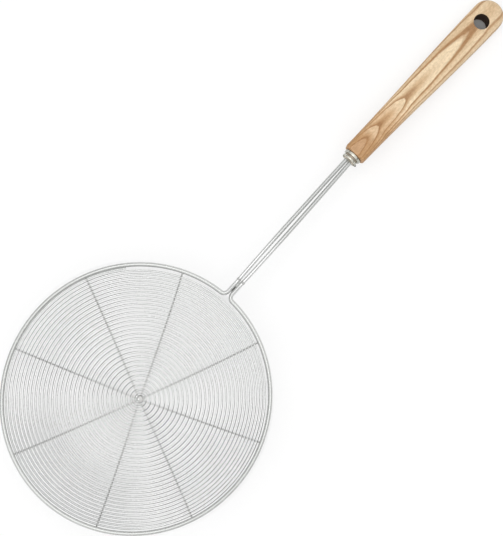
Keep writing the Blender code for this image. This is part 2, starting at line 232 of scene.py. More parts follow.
class SkimmerSizes(PropertyGroup):
    """Sizes of the wires, the bowl and the handle."""

    rim_diameter: length_prop("Rim diameter", "Across the rim, outside", 0.1797)
    rim_ovality: FloatProperty(
        name="Rim ovality",
        description="Share by which the rim is longer along the handle",
        default=0.0118,
        subtype="FACTOR",
    )
    frame_wire: length_prop("Frame wire", "Diameter of the rim's and the stem's wire", 0.0030)
    mesh_wire: length_prop("Bowl wire", "Diameter of the spiral's wire", 0.0015)
    rib_wire: length_prop("Rib wire", "Diameter of the ribs under the spiral", 0.0012)
    bowl_depth: length_prop("Bowl depth", "From the rim's middle to the spiral's eye", 0.0486)
    turns: IntProperty(name="Turns", description="Turns of the spiral", default=31)
    rib_headings: FloatVectorProperty(
        name="Rib headings",
        description="Where the ribs under the spiral stand, counted from the handle",
        size=8,
        default=[math.radians(turn) for turn in (22.6, 65.8, 110.5, 157.2, 205.4, 247.5, 292.4, 336.8)],
        unit="ROTATION",
    )
    spiral_end: FloatProperty(
        name="Spiral's end",
        description="Heading of the spiral's outer end",
        default=math.radians(47.6),
        subtype="ANGLE",
    )
    eye_radius: length_prop("Eye radius", "Radius at which the spiral begins", 0.0018)
    hub_diameter: length_prop("Hub diameter", "Across the weld button under the eye", 0.0056)
    handle_length: length_prop("Handle length", "Length of the wood", 0.1454)
    handle_thickness: length_prop("Handle thickness", "From the wood's top to its underside", 0.0138)
    width_front: length_prop("Front width", "Width of the wood at the ferrule", 0.0161)
    width_butt: length_prop("Butt width", "Width of the wood at its round end", 0.0220)
    edge_radius: length_prop("Edge radius", "Round of the long edges", 0.0040)
    hole_diameter: length_prop("Hole diameter", "Across the hanging hole", 0.0108)
    hole_to_tip: length_prop("Hole to tip", "From the hole's middle to the wood's end", 0.0181)


class SkimmerFinish(PropertyGroup):
    """Colours of the steel and the wood."""

    steel: colour_prop("Steel", "Drawn stainless wire", (0.745, 0.755, 0.74))
    fine_steel: colour_prop("Fine steel", "The spiral's brighter wire", (0.85, 0.86, 0.85))
    rib_steel: colour_prop("Rib steel", "The ribs, dulled by spot welding", (0.74, 0.74, 0.73))
    weld: colour_prop("Weld", "Scale left on the welds", (0.50, 0.51, 0.49))
    cap: colour_prop("Ferrule", "Turned ferrule", (0.88, 0.86, 0.76))
    wood_pale: colour_prop("Late wood", "Palest wood between the rings", (0.87, 0.70, 0.48))
    wood_warm: colour_prop("Warm wood", "Late wood a little nearer the ferrule", (0.75, 0.53, 0.33))
    wood_red: colour_prop("Red wood", "Warmest wood, at the ferrule", (0.56, 0.34, 0.185))
    wood_tan: colour_prop("Early wood", "The rings' open grain", (0.50, 0.285, 0.125))
    wood_dark: colour_prop("Ring line", "Where a ring begins", (0.34, 0.165, 0.065))
    bore: colour_prop("Bore", "Wall of the hanging hole", (0.045, 0.028, 0.020))


class Form:
    """The skimmer's sizes, and those that follow from them."""

    def __init__(self, sizes):
        self.sizes = sizes
        self.wire_r = sizes.frame_wire / 2
        self.mesh_r = sizes.mesh_wire / 2
        self.rib_r = sizes.rib_wire / 2
        self.rim_r = sizes.rim_diameter / 2 - self.wire_r
        seat = self.wire_r + self.mesh_r + SEAT_GAP
        self.last_r = self.rim_r - seat * math.cos(SEAT_ANGLE)
        height = sizes.bowl_depth - seat * math.sin(SEAT_ANGLE)
        self.cap_r = (self.last_r**2 + height**2) / (2 * height)
        self.cap_z = self.cap_r - sizes.bowl_depth
        self.rib_cap_r = self.cap_r + self.mesh_r + SEAT_GAP + self.rib_r
        self.hub_top = -(sizes.bowl_depth + self.mesh_r + SEAT_GAP)
        self.foot = self.hub_top - sizes.rib_wire - FOOT_PROUD
        self.reach = self.cap_r * math.asin(self.last_r / self.cap_r)
        self.spread = (sizes.frame_wire + LEG_GAP) / 2
        self.neck_r = self.rim_r * (1 + sizes.rim_ovality)
        self.ferrule_x = self.neck_r + STEM_LENGTH
        self.neck_end = self.neck_r + NECK_WELD_REACH
        self.ferrule_y = NECK_OFFSET + (self.ferrule_x - self.neck_end) * math.tan(STEM_LEAN)
        self.hole_x = sizes.handle_length - sizes.hole_to_tip
        self.butt_r = sizes.width_butt / 2
        self.rib_inner = math.asin((sizes.hub_diameter / 2 + SEAT_GAP) / self.rib_cap_r)
        self.rib_outer = self.rib_end()
        self.grip = self.grip_frame()
        turn = Matrix.Rotation(self.tilt(), 4, "Y")
        self.lying = turn @ Matrix.Translation((0, 0, -self.foot))
        self.neck_x = (self.lying @ Vector((self.neck_end, NECK_OFFSET, 0))).x

    def rib_end(self):
        far = math.hypot(self.rim_r, self.cap_z)
        clear = self.wire_r + SEAT_GAP + self.rib_r
        between = (self.rib_cap_r**2 + far**2 - clear**2) / (2 * self.rib_cap_r * far)
        return math.atan2(self.rim_r, self.cap_z) - math.acos(between)

    def grip_frame(self):
        """The wood's own frame: its origin is the middle of its front face."""
        lean = Matrix.Rotation(HANDLE_LEAN, 4, "Z")
        start = Vector((self.ferrule_x, self.ferrule_y, 0))
        return Matrix.Translation(start + lean.to_3x3() @ Vector((FERRULE_LENGTH, 0, 0))) @ lean

    def tilt(self):
        """The slope at which the foot and the lower edge of the butt touch the table."""
        radius = self.sizes.edge_radius
        edge = self.grip @ Vector((self.sizes.handle_length - radius, 0, 0))
        rise = radius - self.sizes.handle_thickness / 2 - self.foot
        return math.atan2(rise, edge.x) - math.asin(radius / math.hypot(edge.x, rise))

    def oval(self, heading):
        return 1 + self.sizes.rim_ovality * math.cos(2 * heading)

    def rim_point(self, heading):
        reach = self.rim_r * self.oval(heading)
        return Vector((reach * math.cos(heading), reach * math.sin(heading), 0))

    def shell_point(self, radius, angle, heading):
        """A point on a shell about the dome's centre, this far round from the bottom."""
        out = radius * math.sin(angle) * self.oval(heading)
        height = self.cap_z - radius * math.cos(angle)
        return Vector((out * math.cos(heading), out * math.sin(heading), height))

    def leg(self, side, steps=40, bend_steps=16):
        """One leg of the stem, from inside the wood to where its bend meets the rim."""
        spread = side * self.spread
        points = [self.grip @ Vector((x, spread, 0)) for x in (LEG_SUNK, -LEG_STRAIGHT)]
        widest = (LEG_GAP_MIDDLE - LEG_GAP) / 2
        for k in range(steps + 1):
            share = 1 - k / steps
            bow = math.sin(math.pi * share**LEG_GAP_SKEW) * widest
            y = NECK_OFFSET + (self.ferrule_y - NECK_OFFSET) * share + spread + side * bow
            points.append(Vector((self.neck_end + (self.ferrule_x - self.neck_end) * share, y, 0)))
        away = self.neck_r + NECK_BEND_RADIUS
        bend_y = NECK_OFFSET + side * (self.spread + NECK_BEND_RADIUS)
        bend_x = math.sqrt(away**2 - bend_y**2)
        swing = math.pi / 2 - math.asin(abs(bend_y) / away)
        for k in range(bend_steps + 1):
            turn = swing * k / bend_steps
            x = bend_x - NECK_BEND_RADIUS * math.sin(turn)
            points.append(Vector((x, bend_y - side * NECK_BEND_RADIUS * math.cos(turn), 0)))
        return points

    def frame_path(self, steps=240):
        """The frame wire's middle line: a leg, the rim, and the other leg."""
        left = self.leg(1)
        right = self.leg(-1)
        first = math.atan2(left[-1].y, left[-1].x)
        last = math.tau + math.atan2(right[-1].y, right[-1].x)
        ring = [self.rim_point(first + (last - first) * k / steps) for k in range(1, steps)]
        return left + ring + right[::-1]

    def half_width(self, x):
        share = min(max(x / (self.sizes.handle_length - self.butt_r), 0.0), 1.0)
        flare = share * share * (3 - 2 * share)
        return (self.sizes.width_front + (self.sizes.width_butt - self.sizes.width_front) * flare) / 2


def expression(operation, reflected=False):
    """An operator's method, which adds a Math node for the two values."""

    def method(self, other):
        pair = (other, self) if reflected else (self, other)
        return self.board.math(operation, *pair)

    return method


class Value:
    """A socket that works like a number in an expression, and adds its Math nodes."""

    def __init__(self, board, socket):
        self.board = board
        self.socket = socket

    __add__ = __radd__ = expression("ADD")
    __sub__ = expression("SUBTRACT")
    __rsub__ = expression("SUBTRACT", reflected=True)
    __mul__ = __rmul__ = expression("MULTIPLY")
    __truediv__ = expression("DIVIDE")
    __rtruediv__ = expression("DIVIDE", reflected=True)
    __pow__ = expression("POWER")
    __rpow__ = expression("POWER", reflected=True)

    def sin(self):
        return self.board.math("SINE", self)

    def cos(self):
        return self.board.math("COSINE", self)

    def fract(self):
        return self.board.math("FRACT", self)

    def clamp(self):
        """Held between 0 and 1."""
        return self.board.math("MAXIMUM", self.board.math("MINIMUM", self, 1.0), 0.0)

    def between(self, low, high):
        """0 below low and 1 above high, with a smooth rise between them."""
        settings = {"interpolation_type": "SMOOTHSTEP"}
        return self.board.add("ShaderNodeMapRange", settings, {0: self, 1: low, 2: high, 3: 0.0, 4: 1.0})

    def below(self, low, high):
        """1 below low and 0 above high, with a smooth fall between them."""
        return 1.0 - self.between(low, high)


class Board:
    """A node tree, the one method that puts nodes on it, and short ways to call it."""

    def __init__(self, tree):
        self.tree = tree

    def node(self, kind, settings=None, inputs=None):
        """A node of this type, with its settings and then its sockets set or linked."""
        node = self.tree.nodes.new(kind)
        for name, setting in (settings or {}).items():
            if name == "stops":
                self.set_stops(node.color_ramp, setting)
            else:
                setattr(node, name, setting)
        self.fill(node, inputs or {})
        return node

    def fill(self, node, inputs):
        """Links each of these sockets of the node to its value, or sets it where that is plain."""
        for key, value in inputs.items():
            if isinstance(value, Value):
                self.tree.links.new(value.socket, node.inputs[key])
            else:
                node.inputs[key].default_value = value

    def add(self, kind, settings=None, inputs=None, output=0):
        """What a new node gives at one of its outputs."""
        return Value(self, self.node(kind, settings, inputs).outputs[output])

    def set_stops(self, ramp, stops):
        for element, (place, colour) in ((ramp.elements[0], stops[0]), (ramp.elements[1], stops[-1])):
            element.position = place
            element.color = (*colour, 1.0)
        for place, colour in stops[1:-1]:
            ramp.elements.new(place).color = (*colour, 1.0)

    def math(self, operation, *values):
        return self.add("ShaderNodeMath", {"operation": operation}, dict(enumerate(values)))

    def vectors(self, operation, *values, output="Vector"):
        return self.add("ShaderNodeVectorMath", {"operation": operation}, dict(enumerate(values)), output)

    def dot(self, first, second):
        return self.vectors("DOT_PRODUCT", first, second, output="Value")

    def vector(self, x, y, z):
        return self.add("ShaderNodeCombineXYZ", None, {0: x, 1: y, 2: z})

    def split(self, vector):
        node = self.node("ShaderNodeSeparateXYZ", None, {0: vector})
        return [Value(self, socket) for socket in node.outputs]

    def place(self):
        """Where a point of the piece is on the table."""
        return self.add("ShaderNodeTexCoord", output="Object")

    def normal(self):
        return self.add("ShaderNodeNewGeometry", output="Normal")

    def ramp(self, value, stops, whole):
        """A number that follows straight lines between (place, number) stops, placed within the whole."""
        colours = [(place / whole, (number, number, number)) for place, number in stops]
        return self.add("ShaderNodeValToRGB", {"stops": colours}, {0: value / whole})

    def mix(self, factor, first, second, blend="MIX"):
        """Two colours mixed."""
        settings = {"data_type": "RGBA", "blend_type": blend}
        pair = [value if isinstance(value, Value) else (*value[:3], 1.0) for value in (first, second)]
        return self.add("ShaderNodeMix", settings, {0: factor, 6: pair[0], 7: pair[1]}, 2)

    def noise(self, where, scale, detail=3.0, roughness=0.5):
        inputs = {"Vector": where, "Scale": scale, "Detail": detail, "Roughness": roughness}
        return self.add("ShaderNodeTexNoise", None, inputs)

    def fibres(self, where, along, across, detail=3.0, roughness=0.5):
        """Noise with one scale along a piece and another across it."""
        x, y, z = where
        return self.noise(self.vector(x * along, y * across, z * across), 1.0, detail, roughness)

    def bump(self, height, distance, strength=1.0):
        inputs = {"Height": height, "Distance": distance, "Strength": strength}
        return self.add("ShaderNodeBump", None, inputs)


def in_scene(name, data):
    """A new object of this mesh, lamp or camera."""
    made = bpy.data.objects.new(name, data)
    bpy.context.scene.collection.objects.link(made)
    return made


def plain_mesh(carrier, modifier):
    """The mesh that this modifier makes of the object, after which both are removed."""
    bpy.context.view_layer.update()
    evaluated = carrier.evaluated_get(bpy.context.evaluated_depsgraph_get())
    mesh = bpy.data.meshes.new_from_object(evaluated)
    carrier.modifiers.remove(modifier)
    bpy.data.objects.remove(carrier)
    return mesh


class Tree(Board):
    """A Geometry Nodes tree with named inputs."""

    SOCKETS = {float: "NodeSocketFloat", int: "NodeSocketInt"}

    def __init__(self, name, inputs):
        super().__init__(bpy.data.node_groups.new(name, "GeometryNodeTree"))
        interface = self.tree.interface
        interface.new_socket(name="Geometry", in_out="INPUT", socket_type="NodeSocketGeometry")
        interface.new_socket(name="Geometry", in_out="OUTPUT", socket_type="NodeSocketGeometry")
        for label, value in inputs.items():
            kind = self.SOCKETS.get(type(value), "NodeSocketMaterial")
            interface.new_socket(name=label, in_out="INPUT", socket_type=kind)
        self.entry = self.node("NodeGroupInput")
        self.values = inputs

    def get(self, label):
        return Value(self, self.entry.outputs[label])

    def share(self):
        """How far along its line a point is, from 0 to 1."""
        return self.add("GeometryNodeInputIndex") / (self.get("Steps") - 1.0)

    def wire(self, spot):
        """A round wire through as many points as Steps says, each moved to its spot."""
        line = self.add("GeometryNodeMeshLine", {"mode": "OFFSET"}, {"Count": self.get("Steps")})
        return self.tube(self.add("GeometryNodeSetPosition", None, {"Geometry": line, "Position": spot}))

    def tube(self, line):
        """A round wire along a line of edges."""
        curve = self.add("GeometryNodeMeshToCurve", None, {"Mesh": line})
        radius = {"Resolution": self.get("Sides"), "Radius": self.get("Diameter") / 2}
        ring = self.add("GeometryNodeCurvePrimitiveCircle", {"mode": "RADIUS"}, radius)
        swept = {"Curve": curve, "Profile Curve": ring, "Fill Caps": True}
        return self.add("GeometryNodeCurveToMesh", None, swept)

    def copies(self, piece, **placed):
        """A copy of this piece at every point of the mesh that the tree is run on."""
        inputs = {"Points": self.get("Geometry"), "Instance": piece, **placed}
        return self.add("GeometryNodeInstanceOnPoints", None, inputs)

    def close(self, geometry):
        """Ends the tree: real geometry, shaded smooth, in its material."""
        smooth = self.add("GeometryNodeSetShadeSmooth", None, {"Geometry": geometry})
        real = self.add("GeometryNodeRealizeInstances", None, {"Geometry": smooth})
        painted = {"Geometry": real, "Material": self.get("Material")}
        self.node("NodeGroupOutput", None, {0: self.add("GeometryNodeSetMaterial", None, painted)})

    def run(self, name, mesh):
        """The plain mesh that the tree makes of this one."""
        carrier = in_scene(f"{name}_carrier", mesh)
        modifier = carrier.modifiers.new("tree", "NODES")
        modifier.node_group = self.tree
        for item in self.tree.interface.items_tree:
            if item.in_out == "INPUT" and item.name in self.values:
                modifier[item.identifier] = self.values[item.name]
        return plain_mesh(carrier, modifier)


def sizes_and_finish():
    scene = bpy.context.scene
    return Form(scene.skimmer_sizes), scene.skimmer_finish


def finished(name, mesh, form, replaces, material=None):
    """A piece in its place on the table, with its faces out, riding on the skimmer."""
    mesh.transform(form.lying)
    shape = bmesh.new()
    shape.from_mesh(mesh)
    bmesh.ops.remove_doubles(shape, verts=shape.verts, dist=1e-7)
    bmesh.ops.recalc_face_normals(shape, faces=shape.faces)
    for face in shape.faces:
        face.smooth = True
    shape.to_mesh(mesh)
    shape.free()
    if material:
        mesh.materials.clear()
        mesh.materials.append(material)
    mesh.name = name
    piece = in_scene(name, mesh)
    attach(piece, "root")
    if replaces:
        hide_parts(*replaces)
    return piece


def polyline(name, points):
    mesh = bpy.data.meshes.new(name)
    mesh.from_pydata([tuple(point) for point in points], [(k, k + 1) for k in range(len(points) - 1)], [])
    return mesh


def shader(name):
    """A new material, its board and its Principled shader."""
    material = bpy.data.materials.new(name)
    material.use_nodes = True
    return material, Board(material.node_tree), material.node_tree.nodes["Principled BSDF"]


def toned(colour, share):
    """A colour made darker, or brighter where the share is over 1."""
    return [channel * share for channel in colour]


def steel_material(name, form, colour, roughness, tone=None):
    """Bright drawn wire: faint cloudiness in its polish, and the die's fine scores."""
    material, board, surface = shader(name)
    where = board.place()
    cloud = board.noise(where, scale=90.0, detail=4.0)
    fine = board.noise(where, scale=1400.0, detail=2.0)
    base = board.mix(cloud, toned(colour, 0.86), colour)
    rough = roughness + (cloud - 0.5) * 0.12 + (fine - 0.5) * 0.06
    if tone:
        base, rough = tone(board, form, where, base, rough)
    scores = board.bump(fine, distance=0.00002, strength=0.6)
    board.fill(surface, {"Base Color": base, "Roughness": rough, "Normal": scores, "Metallic": 1.0})
    return material


def neck_tone(board, form, where, base, rough):
    """Painted shade on the rim's inner flank; satin at the neck, marked by the welder's jaws, ground past
    them.
    """
    past = board.split(where)[0] - form.neck_x
    ground = past.between(*GROUND_START) * past.below(*GROUND_END)
    jaw = (past - JAW_MARK) / JAW_HALF_WIDTH
    mark = (jaw * jaw).below(0.3, 1.6)
    heated = past.between(*HEAT_START) * past.below(*HEAT_END)
    _, _, facing = from_rim(board, form, where)
    # Painted shade: the rim's inner flank is darkened on its upper half, short of the neck.
    inward = facing.below(-0.96, -0.70) * past.below(*RIM_FLANK_SHADE_END)
    base = board.mix(inward * upper_side(board) * 0.70, base, RIM_FLANK_SHADE)
    brighter = board.mix(ground * 0.5 + heated * 0.3, base, WHITE)
    return board.mix(mark * 0.9, brighter, JAW_GREY), rough + mark * 0.35 + heated * 0.17


def from_rim(board, form, where):
    """The distance from the rim's axis, the way out from it, and how far the surface faces that way."""
    axis = form.lying.to_3x3() @ Vector((0, 0, 1))
    offset = board.vectors("SUBTRACT", where, form.lying.translation)
    lift = board.add("ShaderNodeVectorMath", {"operation": "SCALE"}, {0: axis, 3: board.dot(offset, axis)})
    flat = board.vectors("SUBTRACT", offset, lift)
    out = board.vectors("LENGTH", flat, output="Value")
    heading = board.vectors("NORMALIZE", flat)
    return out, heading, board.dot(board.normal(), heading)


def upper_side(board):
    """1 on a wire's upper half and 0 below it."""
    return board.split(board.normal())[2].between(-0.02, 0.14)


def painted_rib_shade(board, form, out, heading):
    """1 over each rib, where the wire gets a painted shade line along the rib."""
    turned = form.lying.to_3x3()
    core, edge = RIB_SHADE_EDGE
    shade_lines = 0.0
    for angle in form.sizes.rib_headings:
        along = turned @ Vector((math.cos(angle), math.sin(angle), 0))
        across = turned @ Vector((-math.sin(angle), math.cos(angle), 0))
        aside = board.dot(heading, across) * out
        near = (aside * aside).below(core**2, edge**2)
        shade_lines = near * board.dot(heading, along).between(0.0, 0.1) + shade_lines
    return shade_lines.clamp()


def flank_tone(board, form, where, base, rough):
    """Painted shade on each turn's outer flank beside the handle's line, a painted highlight on its inner
    flank, and painted shade at the bowl's far end and over the ribs.
    """
    out, heading, facing = from_rim(board, form, where)
    x, y, _ = board.split(heading)
    beside_start = out.below(*SPIRAL_MIDDLE) * 0.35 + BESIDE_START
    beside = (y * y).between(beside_start, BESIDE_FULL) * out.below(*LAST_TURN)
    # Painted shade: the wires at the bowl's far end, away from the handle, are darkened.
    far_end = x.below(*FAR_END) * out.between(*SPIRAL_OUTSIDE)
    base = board.mix(far_end * 0.46, base, FAR_SHADE_GREY)
    # Painted highlight on each turn's inner flank beside the handle's line.
    inner = board.mix(facing.below(-0.1, 0.5) * beside, base, WHITE)
    outward = facing + (y * y).between(*WELL_BESIDE) * 0.15
    # Painted shade on each turn's outer flank beside the handle's line.
    shade_paint = outward.between(0.42, 0.76) * beside * upper_side(board)
    flank = board.mix(shade_paint, inner, FLANK_SHADE)
    # Painted shade: a dark line over each rib.
    return board.mix(painted_rib_shade(board, form, out, heading) * 0.36, flank, RIB_SHADE_GREY), rough


def rib_tone(board, form, where, base, rough):
    """Brighter towards the hub."""
    out, _, _ = from_rim(board, form, where)
    return board.mix(out.below(*RIB_FADE) * 0.80, base, RIB_BRIGHT), rough


def hub_tone(board, form, where, base, rough):
    """Grey all round a painted highlight, a bright spot near the button's middle."""
    # Painted highlight: the hub keeps its bright steel only near this spot, and the rest turns grey.
    highlight_spot = form.lying @ Vector((*HIGHLIGHT_PLACE, form.hub_top))
    away = board.vectors("DISTANCE", where, highlight_spot, output="Value")
    return board.mix(away.between(*HIGHLIGHT_EDGE), base, HUB_GREY), rough


def weld_material(colour, steel, form):
    """Weld metal: dull and rippled, with scale in its hollows, and painted shade darkest in the thin run
    between the legs.
    """
    material, board, surface = shader("weld_metal")
    where = board.place()
    # Painted shade in the thin run of weld between the legs.
    thin = (board.split(where)[0] - form.neck_x).below(*THIN_WELD_SHADE_END)
    patches = board.noise(where, scale=420.0, detail=4.0).between(0.38, 0.66)
    ripple = board.noise(where, scale=1300.0)
    base = board.mix(thin * 0.85, board.mix(patches, colour, steel), THIN_WELD_SHADE)
    ripples = board.bump(ripple, distance=0.00012)
    looks = {"Base Color": base, "Roughness": 0.52 - patches * 0.2, "Normal": ripples, "Metallic": 1.0}
    board.fill(surface, looks)
    return material


def along_grip(board, form):
    """Places along the wood, across it and up through it, from its front face."""
    axes = form.lying @ form.grip
    offset = board.vectors("SUBTRACT", board.place(), axes.translation)
    return [board.dot(offset, tuple(axis)) for axis in axes.to_3x3().col]


def cap_material(form, colour):
    """Turned steel: fine rings round the ferrule's axis, painted shade on its sides and front, and in its
    groove a painted reflection of the wood between painted shade.
    """
    material, board, surface = shader("turned_steel")
    where = x, y, z = along_grip(board, form)
    rings = board.fibres(where, along=9000.0, across=60.0, detail=2.0)
    stain = board.fibres(where, along=260.0, across=260.0).between(0.35, 0.7)
    out = (y * y + z * z) ** 0.5
    deep = out.below(GROOVE_RADIUS + GROOVE_FADE, NOSE_RADIUS - GROOVE_FADE)
    ahead = (0.0 - x).between(FERRULE_LENGTH - CAP_FRONT, FERRULE_LENGTH)
    inside = deep * (1.0 - ahead)
    side = (y * y).between(CAP_SIDE[0] ** 2, CAP_SIDE[1] ** 2)
    bright = board.mix(stain * 0.5, colour, toned(colour, 0.86))
    # Painted shade on the ferrule's sides and on its front rounding.
    rounding = board.mix((side * 0.75 + ahead * 0.75).clamp(), bright, CAP_SIDE_SHADE)
    # In the groove: a painted reflection of the wood in the middle, and painted shade at the sides.
    base = board.mix(inside, rounding, board.mix(side, GROOVE_WOOD_REFLECTION, GROOVE_SHADE))
    rough = 0.17 + rings * 0.12 + inside * 0.15
    turned = board.bump(rings, distance=0.00002)
    board.fill(surface, {"Base Color": base, "Roughness": rough, "Normal": turned, "Metallic": 1.0})
    return material


def ash_material(form, finish):
    """Flat-sawn ash: rings about a pith above the handle, which the top face cuts as nested arches."""
    material, board, surface = shader("ash_wood")
    where = x, y, z = [place * MILLIMETRES for place in along_grip(board, form)]
    slow = board.fibres(where, along=0.045, across=0.10, detail=2.0) - 0.5
    quick = board.fibres(where, along=0.30, across=0.8) - 0.5
    aside = y - PITH_ASIDE + slow * 1.4
    above = form.sizes.handle_thickness / 2 * MILLIMETRES + PITH_ABOVE - z
    from_pith = (aside * aside + above * above) ** 0.5 - PITH_ABOVE
    climb = board.ramp(x, RING_CLIMB, GRAIN_LENGTH) * RING_SCALE
    spacing = board.ramp(x, RING_SPACING, GRAIN_LENGTH) * RING_SCALE
    age = climb + from_pith / spacing + quick * 0.10
    ring = age.fract()
    inside = ring.between(0.93, 1.0) + ring.between(0.80, 1.0) * age.between(3.3, 3.6)
    line = (ring.below(0.05, 0.22) + inside).clamp()
    early = (ring.below(0.12, 0.62) + line).clamp() * (1.0 - age.between(4.12, 4.2) * 0.45)
    strength = board.ramp(age, RING_STRENGTH, OLDEST_RING)
    fibre = board.fibres(where, along=0.12, across=4.0, roughness=0.6)
    pores = board.fibres(where, along=0.5, across=11.0, detail=1.0).between(0.62, 0.74)
    blotch = board.fibres(where, along=0.07, across=0.22, detail=2.0).between(0.40, 0.75)
    stops = [(0.0, finish.wood_red), (0.08, finish.wood_red), (0.13, finish.wood_warm)]
    stops += [(0.22, finish.wood_warm), (0.34, finish.wood_pale), (1.0, finish.wood_pale)]
    ground = board.add("ShaderNodeValToRGB", {"stops": stops}, {0: x / GRAIN_LENGTH})
    # Darker towards the sides near the front, and painted shade on the rounded edge at +y from 40 to 60 mm
    # along.
    flank = (aside * aside).between(6.0, 20.0) * x.below(20.0, 42.0) * 0.55
    flank = flank + y.between(6.0, 8.5) * x.between(40.0, 60.0) * 0.2
    warm = board.mix(blotch * 0.14 + age.between(3.85, 4.15) * 0.20 + flank, ground, finish.wood_tan)
    grain = board.mix(early * strength * (0.66 + fibre * 0.5), warm, finish.wood_tan)
    lined = board.mix(line * strength * (0.68 + fibre * 0.4), grain, finish.wood_dark)
    knot_x, knot_y = KNOT_PLACE
    knot = ((x - knot_x) * (x - knot_x) + (y - knot_y) * (y - knot_y) * KNOT_STRETCH) ** 0.5
    eye = knot.between(0.5, 1.1) * knot.below(1.1, 2.0) * (z / 3.0).clamp()
    eyed = board.mix(eye * 0.45, lined, finish.wood_tan)
    pored = board.mix(pores * (0.08 + early * 0.25), eyed, finish.wood_dark)
    streak = board.fibres(where, along=0.06, across=1.3, roughness=0.6)
    mottle = board.fibres(where, along=0.45, across=0.75, detail=4.0, roughness=0.7)
    shade = (fibre - 0.5) * 0.8 + (streak - 0.5) * 1.6 + (mottle - 0.5) * 4.0 + 0.5
    base = board.mix(1.0, pored, board.mix(shade.clamp(), WOOD_SHADE, WHITE), "MULTIPLY")
    relief = board.bump(fibre * 0.4 - early * 0.25 - pores * 0.5, distance=0.00006)
    board.fill(surface, {"Base Color": base, "Roughness": 0.5 + early * 0.10, "Normal": relief})
    board.fill(surface, {"Specular IOR Level": 0.35})
    return material


def bore_material(colour):
    """The hanging hole's wall: near black, with faint lighter blotches."""
    material, board, surface = shader("near_black_bore")
    soot = board.noise(board.place(), scale=700.0)
    base = board.mix(soot, colour, toned(colour, 1.8))
    board.fill(surface, {"Base Color": base, "Roughness": 0.75, "Specular IOR Level": 0.2})
    return material


class SKIMMER_OT_frame_wire(Operator):
    """One round wire for the rim and both legs of the stem"""

    bl_idname = "skimmer.frame_wire"
    bl_label = "Rim and stem"

    def execute(self, context):
        form, finish = sizes_and_finish()
        steel = steel_material("drawn_steel", form, finish.steel, roughness=0.27, tone=neck_tone)
        tree = Tree("Round wire", {"Diameter": form.sizes.frame_wire, "Sides": 24, "Material": steel})
        tree.close(tree.tube(tree.get("Geometry")))
        mesh = tree.run("rim_and_stem", polyline("frame_line", form.frame_path()))
        finished("rim_and_stem", mesh, form, ["frame_wire"])
        return {"FINISHED"}


class SKIMMER_OT_spiral(Operator):
    """The bowl's wire, wound out from its eye by equal steps along the dome"""

    bl_idname = "skimmer.spiral"
    bl_label = "Spiral"

    def execute(self, context):
        form, finish = sizes_and_finish()
        steel = steel_material("fine_wire_steel", form, finish.fine_steel, roughness=0.27, tone=flank_tone)
        inputs = {
            "Dome Radius": form.cap_r,
            "Dome Height": form.cap_z,
            "Reach": form.reach,
            "Turns": float(form.sizes.turns),
            "Eye Radius": form.sizes.eye_radius,
            "Ovality": form.sizes.rim_ovality,
            "End Heading": form.sizes.spiral_end,
            "Diameter": form.sizes.mesh_wire,
            "Steps": 2600,
            "Sides": 12,
            "Material": steel,
        }
        tree = Tree("Spiral on a dome", inputs)
        pitch = tree.get("Reach") / tree.get("Turns")
        span = tree.get("Turns") - tree.get("Eye Radius") / pitch
        left = span * (1.0 - tree.share())
        angle = (tree.get("Reach") - left * pitch) / tree.get("Dome Radius")
        heading = tree.get("End Heading") + left * math.tau
        oval = 1.0 + (heading * 2.0).cos() * tree.get("Ovality")
        out = angle.sin() * tree.get("Dome Radius") * oval
        height = tree.get("Dome Height") - angle.cos() * tree.get("Dome Radius")
        tree.close(tree.wire(tree.vector(out * heading.cos(), out * heading.sin(), height)))
        mesh = tree.run("bowl_spiral", bpy.data.meshes.new("spiral_line"))
        finished("bowl_spiral", mesh, form, ["spiral_wire"])
        return {"FINISHED"}


class SKIMMER_OT_ribs(Operator):
    """The ribs under the spiral, from the hub to the rim"""

    bl_idname = "skimmer.ribs"
    bl_label = "Ribs"

    def execute(self, context):
        form, finish = sizes_and_finish()
        steel = steel_material("rib_steel", form, finish.rib_steel, roughness=0.30, tone=rib_tone)
        inputs = {
            "Dome Radius": form.rib_cap_r,
            "Dome Height": form.cap_z,
            "Inner Angle": form.rib_inner,
            "Outer Angle": form.rib_outer,
            "Ovality": form.sizes.rim_ovality,
            "Diameter": form.sizes.rib_wire,
            "Steps": 49,
            "Sides": 12,
            "Material": steel,
        }
        tree = Tree("Ribs", inputs)
        angle = tree.get("Inner Angle") + (tree.get("Outer Angle") - tree.get("Inner Angle")) * tree.share()
        height = tree.get("Dome Height") - angle.cos() * tree.get("Dome Radius")
        rib = tree.wire(tree.vector(angle.sin() * tree.get("Dome Radius"), 0.0, height))
        heading = tree.add("GeometryNodeInputNamedAttribute", {"data_type": "FLOAT"}, {"Name": "heading"})
        oval = 1.0 + (heading * 2.0).cos() * tree.get("Ovality")
        turn = tree.vector(0.0, 0.0, heading)
        tree.close(tree.copies(rib, Rotation=turn, Scale=tree.vector(oval, oval, 1.0)))
        headings = form.sizes.rib_headings
        places = polyline("rib_places", [(0, 0, 0)] * len(headings))
        places.attributes.new("heading", "FLOAT", "POINT").data.foreach_set("value", headings)
        mesh = tree.run("ribs", places)
        finished("ribs", mesh, form, [f"rib_{k + 1}" for k in range(len(headings))])
        return {"FINISHED"}


def crossing_points(form):
    """Where the spiral crosses each rib, in the gap between them."""
    points = []
    pitch = form.reach / form.sizes.turns
    middle = form.cap_r + form.mesh_r + SEAT_GAP / 2
    for heading in form.sizes.rib_headings:
        left = ((heading - form.sizes.spiral_end) / math.tau) % 1.0
        while form.reach - left * pitch > max(form.sizes.eye_radius, form.sizes.hub_diameter / 2):
            points.append(form.shell_point(middle, (form.reach - left * pitch) / form.cap_r, heading))
            left += 1.0
    return points


def rim_seats(form):
    """Where each rib's end and the last turn above it are welded under the rim."""
    points = []
    for heading in form.sizes.rib_headings:
        end = form.shell_point(form.rib_cap_r, form.rib_outer, heading)
        rim = form.rim_point(heading)
        points.append(end + (rim - end).normalized() * (form.rib_r + SEAT_GAP / 2))
    return points


